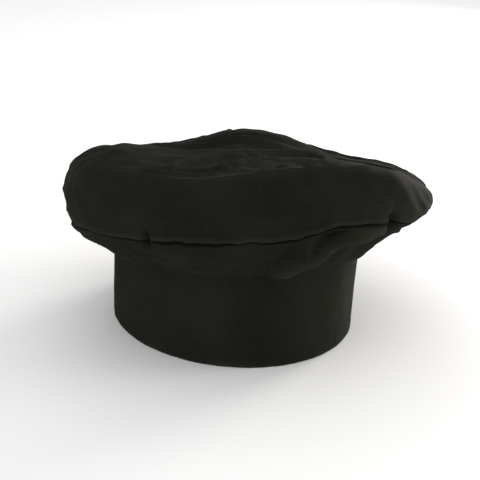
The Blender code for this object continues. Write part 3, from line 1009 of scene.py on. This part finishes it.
def make_hook_tape():
    """Rows of small nylon hooks on a woven backing, facing the band."""
    start, end = HOOK_TAPE_ENDS
    alongs = np.linspace(start, end, 40)
    backing = tape_backing("hook_tape_nylon", alongs, np.full_like(alongs, HOOK_TAPE_DEPTH))
    rng = np.random.default_rng(51)
    step, rise = HOOK_SPACING
    turn = np.linspace(0.0, 1.25 * math.pi, 6)
    stem = 0.00045 + 0.00022 * np.sin(turn)
    stem[0] = 0.0
    paths = []
    for a in np.arange(end + 0.0012, start - 0.0008, step):
        for h in np.arange(TAPE_BOTTOM + 0.0016, TAPE_TOP - 0.0012, rise):
            lean = 1.0 if int(round(h / rise)) % 2 else -1.0
            reach = lean * 0.00022 * (1.0 - np.cos(turn)) + rng.normal(0.0, 0.00003)
            place = np.full(6, a) + rng.normal(0.0, 0.00005)
            paths.append(on_band(place, h + reach, BAND_THICKNESS + 0.0006 + stem))
    return join_into(backing, paths, 0.00008, 4, "hook_tape")


def make_loop_tape():
    """A brushed pile of fine nylon loops on a woven backing, on the underlap's outer face."""
    start, end = PERIMETER - LOOP_TAPE_ENDS[0], PERIMETER - LOOP_TAPE_ENDS[1]
    alongs = np.linspace(start, end, 44)
    backing = tape_backing("loop_tape_nylon", alongs, dive(alongs) + LOOP_TAPE_DEPTH)
    rng = np.random.default_rng(52)
    turn = np.linspace(0.0, math.pi, 6)
    paths = []
    for _ in range(LOOP_COUNT):
        a = rng.uniform(start + 0.001, end - 0.001)
        h = rng.uniform(TAPE_BOTTOM + 0.001, TAPE_TOP - 0.001)
        heading = rng.uniform(0, math.pi)
        width = rng.uniform(0.0004, 0.0009)
        tall = rng.uniform(0.0003, 0.0006)
        step = -width / 2 * np.cos(turn)
        lay = rng.normal(0.0, 0.0002) * np.sin(turn)
        here = a + step * math.cos(heading) - lay * math.sin(heading)
        there = h + step * math.sin(heading) + lay * math.cos(heading)
        paths.append(on_band(here, there, dive(here) - 0.0006 - tall * np.sin(turn)))
    tape = join_into(backing, paths, 0.00005, 3, "loop_tape")
    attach(tape, "band")


def join_into(base, paths, radius, sides, node):
    """Adds fine threads to a tape's backing, as one piece."""
    threads = joined_tubes(base.name + "_pile", paths, radius, sides)
    bpy.ops.object.select_all(action="DESELECT")
    threads.select_set(True)
    base.select_set(True)
    bpy.context.view_layer.objects.active = base
    bpy.ops.object.join()
    return finish_piece(base, TAPE, "tape", node)


# ======== the crown ========

def crown_controls(bearings):
    """The crown's control points at any bearings, shaped (bearings, 6, 2)."""
    keys = sorted(CROWN_ROWS)
    count = len(keys)
    rows = np.array([CROWN_ROWS[key] for key in keys])
    places = np.array(keys + [keys[0] + 360.0])
    bearings = (bearings - keys[0]) % 360.0 + keys[0]
    i = np.clip(np.searchsorted(places, bearings, side="right") - 1, 0, count - 1)

    def key(n):
        return places[n % count] + 360.0 * (n // count)

    def row(n):
        return rows[n % count]

    width = key(i + 1) - key(i)
    t = ((bearings - key(i)) / width)[:, None, None]
    slope_here = (row(i + 1) - row(i - 1)) * (width / (key(i + 1) - key(i - 1)))[:, None, None]
    slope_next = (row(i + 2) - row(i)) * (width / (key(i + 2) - key(i)))[:, None, None]
    return ((2 * t**3 - 3 * t**2 + 1) * row(i) + (t**3 - 2 * t**2 + t) * slope_here
            + (-2 * t**3 + 3 * t**2) * row(i + 1) + (t**3 - t**2) * slope_next)


def band_top_radius(bearings):
    """The distance from the Z axis to the band's upper edge."""
    aim = np.radians(bearings)
    direction = np.stack([np.cos(aim), np.sin(aim)], axis=-1)
    scale = 1.0 / np.array(TOP_HALF_AXES)
    lean = np.array(TOP_LEAN)
    a = ((direction * scale) ** 2).sum(-1)
    b = (direction * lean * scale**2).sum(-1)
    c = ((lean * scale) ** 2).sum() - 1.0
    return (b + np.sqrt(b * b - a * c)) / a


def around(bearings, radius, height):
    """Points from bearings (n) and radii and heights (n, m)."""
    aim = np.radians(bearings)[:, None]
    return np.stack([radius * np.cos(aim), radius * np.sin(aim), height], axis=-1)


def ring_points(bearings, radius):
    """Points on a plain circle, for random fields that close up round the crown."""
    aim = np.radians(bearings)
    return np.stack([radius * np.cos(aim), radius * np.sin(aim), np.zeros_like(aim)], axis=-1)


def rim_line(bearings):
    """How the rim seam wanders in radius and height: puckers, and tucks caught in the stitching."""
    ring = ring_points(bearings, RIM_RING)
    radius = 0.00050 * ripples(ring, 0.016, 61) + 0.00045 * ripples(ring, 0.034, 62)
    height = 0.00045 * ripples(ring, 0.022, 63) + 0.00030 * ripples(ring, 0.012, 64)
    for bearing, width, outward, upward in RIM_SHIFTS:
        share = np.exp(-((turn_between(bearings, bearing) / width) ** 2))
        radius = radius + outward * share
        height = height + upward * share
    return np.stack([radius, height], axis=-1)


def pull_in_notches(points, bearings, from_rim):
    """Pulls a panel's edge inwards at the small tucks caught in the rim seam."""
    pull = np.zeros(points.shape[:2])
    for bearing, width, depth in SEAM_NOTCHES:
        across = np.exp(-((turn_between(bearings, bearing) / width) ** 2))
        pull += depth * across[:, None] * np.exp(-((from_rim / NOTCH_REACH) ** 2))
    radius = np.hypot(points[..., 0], points[..., 1])
    scale = (radius - pull) / radius
    return np.stack([points[..., 0] * scale, points[..., 1] * scale, points[..., 2]], axis=-1)


def seam_opening(bearings):
    """How far the under panel hangs clear of the top panel's lip."""
    ring = ring_points(bearings, RIM_RING)
    opening = SEAM_OPENING + 0.00050 * np.clip(ripples(ring, 0.070, 65), -1.0, 1.0)
    for start, end, extra in SEAM_GAPS:
        inside = (end - start) / 2 - np.abs(turn_between(bearings, (start + end) / 2))
        opening = opening + extra * smoothstep(inside / 5.0)
    return opening


def even_shares(points, step):
    """Shares of the curves that lie about a step apart, from their mean lengths."""
    dense = np.linspace(0.0, 1.0, 400)
    curve = through(points, dense)
    run = np.concatenate([[0.0], np.cumsum(np.linalg.norm(np.diff(curve, axis=1), axis=-1).mean(0))])
    count = int(run[-1] / step) + 1
    return np.interp(np.linspace(0.0, run[-1], count), run, dense), np.linspace(0.0, run[-1], count)


def put_on(points, plan_path, highest):
    """Lifts a plan path onto the upper part of the top panel."""
    region = points[:, highest:].reshape(-1, 3)
    path = smooth_path(plan_path, 28)
    nearest = [region[np.argmin(((region[:, :2] - spot) ** 2).sum(1))] for spot in path]
    return np.array(nearest)


def panel_path(bearings, shares, points, route):
    """Puts a route of (bearing, share) pairs on a panel's grid of points."""
    path = smooth_path(route, 28)
    columns = np.round((path[:, 0] % 360.0) / 360.0 * len(bearings)).astype(int) % len(bearings)
    rows = np.array([np.argmin(np.abs(shares - share)) for share in path[:, 1]])
    return points[columns, rows]


def dents(points, bearings, shares, specs):
    """Round hollows and bumps, each given by (bearing, share), radius and height."""
    relief = np.zeros(points.shape[:2])
    for spot, width, height in specs:
        centre = panel_path(bearings, shares, points, (spot, spot))[0]
        gap = np.linalg.norm(points - centre, axis=-1)
        relief += height * np.exp(-((gap / width) ** 2))
    return relief


def add_creases(relief, wear_and_highlight, points, creases, put):
    """Adds creases to a panel's relief and paints a pale highlight along their crests. put lays a crease's
    route on the panel.
    """
    for route, height, width in creases:
        fold = crest(points, put(route), height, width)
        relief = relief + fold
        # Painted highlight: each crest is made paler by its height.
        wear_and_highlight = np.maximum(wear_and_highlight, fold / TALLEST_CREASE)
    return relief, wear_and_highlight


def shape_under_panel(bearings):
    """The under panel's grid, from over the band's edge out and up to the rim seam: points, painted crest
    highlight and run.
    """
    controls = crown_controls(bearings)
    edge = band_top_radius(bearings)
    opening = seam_opening(bearings)
    rim = controls[:, 2] + rim_line(bearings)
    lip = rim - np.stack([np.full_like(opening, RIM_HALF_GAP), RIM_HALF_GAP + opening], axis=-1)
    seat, turn = (np.stack([edge + outward, np.full_like(edge, BAND_HEIGHT + upward)], axis=-1)
                  for outward, upward in EDGE_ROLL)
    main = np.stack([seat, turn, controls[:, 0], controls[:, 1], lip], axis=1)
    shares, run = even_shares(main, UNDER_STEP)
    profile = through(main, shares)
    points = around(bearings, profile[..., 0], profile[..., 1])
    normals = grid_normals(points, True)

    from_band = run[None, :]
    from_rim = run[-1] - run[None, :]

    # Gathers sewn into the band, and the softer pleats that they run out in.
    ring = ring_points(bearings, BAND_RING)
    phase = ripples(ring, 0.030, 71)[:, None] * 1.3
    aim = np.radians(bearings)[:, None]
    count, depth = GATHERS
    gathers = np.cos(count * aim + phase * 2.2) * (0.75 + 0.35 * ripples(ring, 0.05, 72)[:, None])
    relief = depth * gathers * smoothstep((from_band - 0.001) / 0.004) * np.exp(-from_band / 0.009)
    count, depth = PLEATS
    pleats = depth * np.cos(count * aim + phase * 1.4) * smoothstep(from_band / 0.010)
    relief = relief + pleats * np.exp(-((from_band - 0.012) / 0.012) ** 2)

    # Soft waves, a few sharper breaks in them, puckers along the rim seam, and then the creases.
    stretch = (1.0, 1.0, 0.35)
    relief = relief + 0.0005 * ripples(points, 0.040, 73, stretch) * smoothstep(from_band / 0.02)
    sharp = 1.0 - np.abs(ripples(points, 0.034, 74, stretch))
    relief = relief + 0.0005 * np.clip(sharp - 0.2, 0.0, 1.0) * smoothstep(from_band / 0.02)
    relief = relief + 0.00030 * ripples(ring, 0.010, 66)[:, None] * np.exp(-from_rim / 0.006)
    relief, wear_and_highlight = add_creases(relief, np.zeros_like(relief), points, UNDER_CREASES,
                               lambda route: panel_path(bearings, shares, points, route))
    relief = relief + dents(points, bearings, shares, UNDER_DENTS)
    relief = relief * smoothstep(from_rim / 0.005)
    return points + normals * relief[..., None], wear_and_highlight, run


def round_flat(bearings, reach):
    """A round panel's flat coordinates, from each column's bearing and each row's distance from the centre."""
    aim = np.radians(bearings)[:, None]
    return np.stack([reach[None] * np.cos(aim), reach[None] * np.sin(aim)], axis=-1)


def make_under_panel(bearings, points, wear_and_highlight, run):
    """Adds the part sewn inside the band and the rim's seam allowance, and makes the piece."""
    edge = band_top_radius(bearings)
    opening = seam_opening(bearings)
    rim = crown_controls(bearings)[:, 2] + rim_line(bearings)
    behind, over, tucked = np.array(BAND_TURN_IN).T
    lead = around(bearings, *np.broadcast_arrays(edge[:, None] - behind, BAND_HEIGHT + over))
    outward, upward, unrolled = np.array(UNDER_SEAM).T
    seam = rim[:, None, :] + np.stack([outward, upward], axis=-1)
    seam[:, :2, 1] -= opening[:, None] * np.array([0.9, 0.6])
    tail = around(bearings, seam[..., 0], seam[..., 1])
    points = np.concatenate([lead, points, tail], axis=1)
    rim_gap = np.concatenate([np.full(len(behind), run[-1]), run[-1] - run, np.zeros(len(outward))])
    points = pull_in_notches(points, bearings, rim_gap)
    wear_and_highlight = np.pad(wear_and_highlight, ((0, 0), (len(behind), len(outward))))
    reach = UNDER_FLAT_START + np.concatenate([tucked, run, run[-1] + unrolled])
    faces = grid_faces(len(bearings), points.shape[1], True)
    # The crease crests' values are a painted highlight.
    panel = mesh_object("crown_under_cloth", points, faces, round_flat(bearings, reach), wear_and_highlight * CREASE_HIGHLIGHT)
    thicken(panel, CLOTH)
    finish_piece(panel, COTTON, "cloth", "crown_under_panel")
    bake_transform(panel)


def swell(points, spec):
    """A broad soft bump or hollow in the top, longer in one direction."""
    (x, y), heading, length, width, height = spec
    aim = math.radians(heading)
    dx, dy = points[..., 0] - x, points[..., 1] - y
    along = dx * math.cos(aim) + dy * math.sin(aim)
    across = -dx * math.sin(aim) + dy * math.cos(aim)
    return height * np.exp(-(along / length) ** 2 - (across / width) ** 2)


def shape_top_panel(bearings):
    """The top panel's grid, from the rim seam up the face, over the shoulder and in: points, painted crest
    highlight and run.
    """
    controls = crown_controls(bearings)
    rim = controls[:, 2] + rim_line(bearings)
    start = rim + np.array([0.0, RIM_HALF_GAP])
    centre = np.broadcast_to(np.array([0.0, CROWN_TOP_CENTRE]), rim.shape)
    main = np.stack([start, controls[:, 3], controls[:, 4], controls[:, 5], centre], axis=1)
    shares, run = even_shares(main, TOP_STEP)
    shares, run = shares[:-1], run[:-1]
    profile = through(main, shares)
    points = around(bearings, profile[..., 0], profile[..., 1])
    normals = grid_normals(points, True)

    from_rim = run[None, :]
    upper = int(np.argmin(np.abs(shares - UPPER_SHARE)))
    plain = np.zeros(points.shape[:2])
    relief, wear_and_highlight = add_creases(plain, plain, points, TOP_CREASES, lambda plan: put_on(points, plan, upper))
    relief, wear_and_highlight = add_creases(relief, wear_and_highlight, points, FACE_CREASES,
                               lambda route: panel_path(bearings, shares, points, route))
    relief = relief + dents(points, bearings, shares, FACE_DENTS)
    for spec in TOP_SWELLS:
        relief = relief + swell(points, spec)

    # Soft waves and sharper breaks on the top, softer ones all over, and puckers along the rim seam.
    top = smoothstep((shares - 0.30) / 0.25)[None, :]
    relief = relief + top * 0.0005 * ripples(points, 0.052, 81, (1.6, 1.0, 1.0))
    sharp = 1.0 - np.abs(ripples(points, 0.050, 82, (1.9, 1.0, 1.0)))
    relief = relief + top * 0.0007 * np.clip(sharp - 0.35, 0.0, 1.0)
    relief = relief + 0.0007 * ripples(points, 0.060, 83)
    relief = relief + 0.00018 * ripples(points, 0.011, 84)
    ring = ring_points(bearings, RIM_RING)
    relief = relief + 0.00040 * ripples(ring, 0.010, 66)[:, None] * np.exp(-from_rim / 0.009)
    relief = relief + 0.0004 * ripples(ring, 0.022, 67)[:, None] * np.exp(-from_rim / 0.018)
    relief = relief * smoothstep(from_rim / 0.006)
    return points + normals * relief[..., None], wear_and_highlight, run


def make_top_panel(bearings, points, wear_and_highlight, run):
    """Adds the rim's seam allowance, and makes the piece."""
    rim = crown_controls(bearings)[:, 2] + rim_line(bearings)
    outward, upward, unrolled = np.array(TOP_SEAM).T
    added = len(outward)
    seam = rim[:, None, :] + np.stack([outward, upward], axis=-1)
    lead = around(bearings, seam[..., 0], seam[..., 1])
    points = np.concatenate([lead, points], axis=1)
    points = pull_in_notches(points, bearings, np.concatenate([np.zeros(added), run]))
    # The crease crests' values are a painted highlight; the rows at the rim get real wear.
    wear_and_highlight = np.pad(wear_and_highlight, ((0, 0), (added, 0))) * CREASE_HIGHLIGHT
    wear_and_highlight[:, added - 2:added + 2] = RIM_WEAR
    reach = run[-1] + TOP_STEP - np.concatenate([unrolled, run])
    panel = disc_object("crown_top_cloth", points, round_flat(bearings, reach), wear_and_highlight)
    thicken(panel, CLOTH)
    finish_piece(panel, COTTON, "cloth", "crown_top_panel")
    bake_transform(panel)


def settling_body(coarse, seam):
    """A coarse crown in one piece, closed at its centre. Its vertex group says how strongly a row is held."""
    columns, rows = coarse.shape[:2]
    verts = np.concatenate([coarse.reshape(-1, 3), coarse[:, -1].mean(0)[None]])
    faces = grid_faces(columns, rows, True)
    last = [n * rows + rows - 1 for n in range(columns)]
    faces += [(last[n], last[(n + 1) % columns], len(verts) - 1) for n in range(columns)]
    body = mesh_object("crown_settling", verts, faces)
    hold = np.full(rows, SETTLE_HOLD)
    hold[:SETTLE_HELD_ROWS] = 1.0
    hold[seam - 1:seam + 2] = 1.0
    hold[-SETTLE_HELD_ROWS:] = 1.0
    group = body.vertex_groups.new(name="hold")
    for j in range(rows):
        group.add([n * rows + j for n in range(columns)], float(hold[j]), "REPLACE")
    group.add([len(verts) - 1], SETTLE_HOLD, "REPLACE")
    return body


def simulated(body):
    """Runs the cloth simulation on a body, deletes it, and returns where its vertices came to rest."""
    cloth = body.modifiers.new("cloth", "CLOTH")
    for name, value in SETTLE_CLOTH.items():
        setattr(cloth.settings, name, value)
    cloth.settings.vertex_group_mass = "hold"
    cloth.settings.effector_weights.gravity = SETTLE_GRAVITY
    cloth.point_cache.frame_start = 1
    cloth.point_cache.frame_end = SETTLE_FRAMES
    scene = bpy.context.scene
    for number in range(1, SETTLE_FRAMES + 1):
        scene.frame_set(number)
    evaluated = body.evaluated_get(bpy.context.evaluated_depsgraph_get())
    settled = np.empty(len(body.data.vertices) * 3)
    evaluated.data.vertices.foreach_get("co", settled)
    scene.frame_set(1)
    bpy.data.objects.remove(body)
    return settled.reshape(-1, 3)


def settle(under, top):
    """Lets the crown buckle as overfull cloth: a coarse copy is simulated, and both panels follow it."""
    columns = np.arange(0, CROWN_COLUMNS, SETTLE_STRIDE)
    under_rows = np.unique(np.linspace(0, under.shape[1] - 1, SETTLE_UNDER_ROWS).astype(int))
    top_rows = np.unique(np.linspace(0, top.shape[1] - 1, SETTLE_TOP_ROWS).astype(int))
    coarse = np.concatenate([under[columns][:, under_rows], top[columns][:, top_rows[1:]]], axis=1)
    rows = coarse.shape[1]
    seam = len(under_rows) - 1
    shift = simulated(settling_body(coarse, seam))[:-1].reshape(coarse.shape) - coarse
    size = np.linalg.norm(shift, axis=-1, keepdims=True)
    shift *= np.minimum(1.0, SETTLE_CAP / np.maximum(size, 1e-9))
    for _ in range(SETTLE_SOFTENING):
        shift = (np.roll(shift, 1, 0) + 2 * shift + np.roll(shift, -1, 0)) / 4
        shift[:, 1:-1] = (shift[:, :-2] + 2 * shift[:, 1:-1] + shift[:, 2:]) / 4
    climb = (np.arange(rows) - seam) / (rows - 1 - seam)
    over_shoulder = smoothstep((climb - SETTLE_SHOULDER[0]) / SETTLE_SHOULDER[1])
    upper = SETTLE_FACE_SHARE + (1.0 - SETTLE_FACE_SHARE) * over_shoulder
    freedom = np.where(climb < 0.0, SETTLE_UNDER_SHARE, upper)
    shift *= (freedom * smoothstep((1.0 - climb) / SETTLE_CENTRE))[None, :, None]
    return (under + spread(shift[:, :seam + 1], under_rows, under.shape),
            top + spread(shift[:, seam:], top_rows, top.shape))


def spread(shift, rows, shape):
    """Carries shifts on coarse columns and rows over to a full grid, along smooth curves."""
    along = np.concatenate([shift, shift[:1]]).transpose(1, 0, 2)
    around_all = through(along, np.arange(shape[0]) / shape[0]).transpose(1, 0, 2)
    place = np.interp(np.arange(shape[1]), rows, np.linspace(0.0, 1.0, len(rows)))
    return through(around_all, place)


def make_crown(bearings):
    """Both panels of the crown, shaped and settled together."""
    under, under_highlight, under_run = shape_under_panel(bearings)
    top, top_highlight, top_run = shape_top_panel(bearings)
    under, top = settle(under, top)
    make_under_panel(bearings, under, under_highlight, under_run)
    make_top_panel(bearings, top, top_highlight, top_run)


def disc_object(name, points, uvs, wear_and_highlight):
    """A grid that runs in to a centre. Columns halve as the rings shrink, and a fan closes the middle."""
    columns, rows = points.shape[:2]
    index, rings, step = {}, [], 1
    verts, flat, wear_and_highlight_share = [], [], []
    for j in range(rows):
        radius = np.hypot(points[:, j, 0], points[:, j, 1]).mean()
        while step < LARGEST_COLUMN_STEP and 2 * math.pi * radius / (columns / step) < COLUMN_MERGE_GAP:
            step *= 2
        ring = list(range(0, columns, step))
        for i in ring:
            index[i, j] = len(verts)
            verts.append(points[i, j])
            flat.append(uvs[i, j])
            wear_and_highlight_share.append(wear_and_highlight[i, j])
        rings.append(step)
    faces = []
    for j in range(rows - 1):
        here, there = rings[j], rings[j + 1]
        for i in range(0, columns, there):
            k = (i + there) % columns
            outer = [(i + n) % columns for n in range(0, there + 1, here)]
            corners = [index[n, j] for n in outer] + [index[k, j + 1], index[i, j + 1]]
            if here == there:
                faces.append(tuple(corners))
            else:
                middle = index[outer[len(outer) // 2], j]
                faces += [(corners[0], middle, index[i, j + 1]), (middle, corners[-3], index[k, j + 1]),
                          (middle, index[k, j + 1], index[i, j + 1])]
    last = [index[i, rows - 1] for i in range(0, columns, rings[-1])]
    centre = len(verts)
    verts.append(points[:, -1].mean(0))
    flat.append(np.zeros(2))
    wear_and_highlight_share.append(0.0)
    faces += [(last[n], last[(n + 1) % len(last)], centre) for n in range(len(last))]
    return mesh_object(name, np.array(verts), faces, np.array(flat), np.array(wear_and_highlight_share))


# ======== floor, lights and camera ========

def make_floor():
    """The floor that the hat stands on."""
    corners = np.array([(-6, -6, 0), (6, -6, 0), (6, 6, 0), (-6, 6, 0)], float)
    floor = mesh_object("floor", corners, [(0, 1, 2, 3)])
    floor.data.materials.append(floor_material())


def area_light(name, place, target, size, power, colour):
    """A rectangular light that points at its target."""
    light = bpy.data.lights.new(name, "AREA")
    light.shape = "RECTANGLE"
    light.size, light.size_y = size
    light.energy = power
    light.color = colour
    obj = bpy.data.objects.new(name, light)
    bpy.context.scene.collection.objects.link(obj)
    obj.location = place
    obj.rotation_euler = (Vector(target) - Vector(place)).to_track_quat("-Z", "Y").to_euler()


def make_lights():
    """A white surround and the four lights."""
    world = bpy.data.worlds.new("studio")
    bpy.context.scene.world = world
    world.use_nodes = True
    background = world.node_tree.nodes["Background"]
    background.inputs["Color"].default_value = (1.0, 1.0, 1.0, 1.0)
    background.inputs["Strength"].default_value = SKY_STRENGTH
    for name, spec in LIGHTS.items():
        area_light(name, *spec)


def make_camera():
    """The photograph's viewpoint."""
    azimuth, elevation = CAMERA_AZIMUTH, CAMERA_ELEVATION
    target = Vector((CAMERA_SIDEWAYS * math.cos(azimuth), CAMERA_SIDEWAYS * math.sin(azimuth),
                     CAMERA_AIM_HEIGHT))
    back = Vector((math.sin(azimuth) * math.cos(elevation), -math.cos(azimuth) * math.cos(elevation),
                   math.sin(elevation)))
    camera = bpy.data.cameras.new("camera")
    camera.lens = CAMERA_LENS
    camera.sensor_width = CAMERA_SENSOR
    obj = bpy.data.objects.new("camera", camera)
    bpy.context.scene.collection.objects.link(obj)
    obj.location = target + back * CAMERA_DISTANCE
    obj.rotation_mode = "QUATERNION"
    obj.rotation_quaternion = (-back).to_track_quat("-Z", "Y")
    bpy.context.scene.camera = obj


# ======== the hat ========

COTTON = cotton_material("black_cotton", BLACK_COTTON, 0.0)
FACING_COTTON = cotton_material("black_cotton_facing", scaled(BLACK_COTTON, 1.15), 0.31)
THREAD = fibre_material("black_thread", BLACK_THREAD, (0.70, 0.01, 0.08), (2600.0, 1.0, 0.5), (0.6, 1.9),
                        (0.6, 0.0001))
TAPE = fibre_material("black_nylon_tape", TAPE_BLACK, (0.62, 0.02, 0.12), (1500.0, 2.0, 0.5), (0.6, 2.0),
                      (0.7, 0.00015), roughness_range=(0.42, 0.66))
INTERLINING = fibre_material("white_interlining", INTERLINING_WHITE, (0.92, 0.0, 0.2), (700.0, 4.0, 0.7),
                             (0.75, 1.2), (0.6, 0.0002))
LABEL = label_material("white_satin_label", LABEL_WHITE)

make_floor()
make_lights()
make_camera()
bpy.context.scene.view_settings.view_transform = "Standard"
make_band()
make_band_stitching()
make_bartacks()
make_label()
make_tab()
make_loop_tape()
BEARINGS = np.linspace(0.0, 360.0, CROWN_COLUMNS, endpoint=False)
make_crown(BEARINGS)
